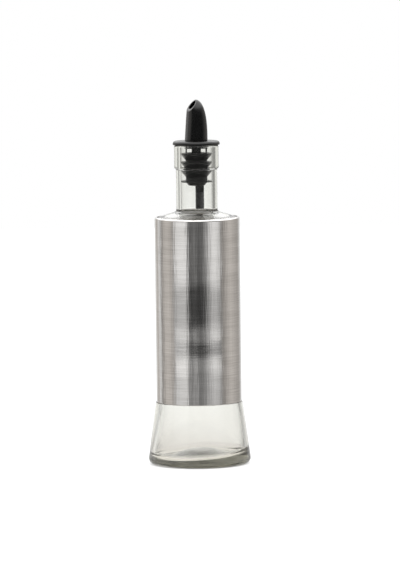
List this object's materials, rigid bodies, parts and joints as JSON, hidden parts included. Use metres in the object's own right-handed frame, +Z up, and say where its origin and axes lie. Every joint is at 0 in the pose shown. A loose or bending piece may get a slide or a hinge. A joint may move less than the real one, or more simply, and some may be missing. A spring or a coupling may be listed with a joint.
{
  "type": "oil cruet",
  "caption": "Oil cruet: a glass bottle with a flared foot and plain neck in a brushed steel sleeve, closed by a black ribbed pourer with a slant-cut spout.",
  "frame": {"origin": "centre of the bearing ring, on the surface that the cruet stands on", "axes": "+Z up along the bottle's axis; the spout pours towards -X; the picture looks along +Y from about 20 degrees round towards -X"},
  "size_m": [0.0652, 0.0652, 0.2332],
  "materials": {
    "glass": "clear moulded soda-lime glass, fire-polished",
    "sleeve_steel": "stainless steel, brushed round the sleeve",
    "bond": "pale adhesive",
    "stopper_elastomer": "soft black moulding, satin",
    "spout_plastic": "black moulded polypropylene, fine satin texture"
  },
  "bodies": {
    "bottle": {"glass_bottle": "glass", "steel_sleeve": "sleeve_steel", "lower_bond_band": "bond", "upper_bond_band": "bond"},
    "stopper": {"ribbed_stopper": "stopper_elastomer", "dip_tube": "spout_plastic"},
    "spout": {"pour_spout": "spout_plastic"}
  },
  "joints": [
    {"name": "pourer_pull", "type": "slide", "parent": "bottle", "child": "stopper", "axis": [0, 0, 1], "range_m": [0, 0.046]},
    {"name": "spout_turn", "type": "hinge", "parent": "stopper", "child": "spout", "pos_m": [0, 0, 0.207], "axis": [0, 0, 1], "continuous": true}
  ]
}
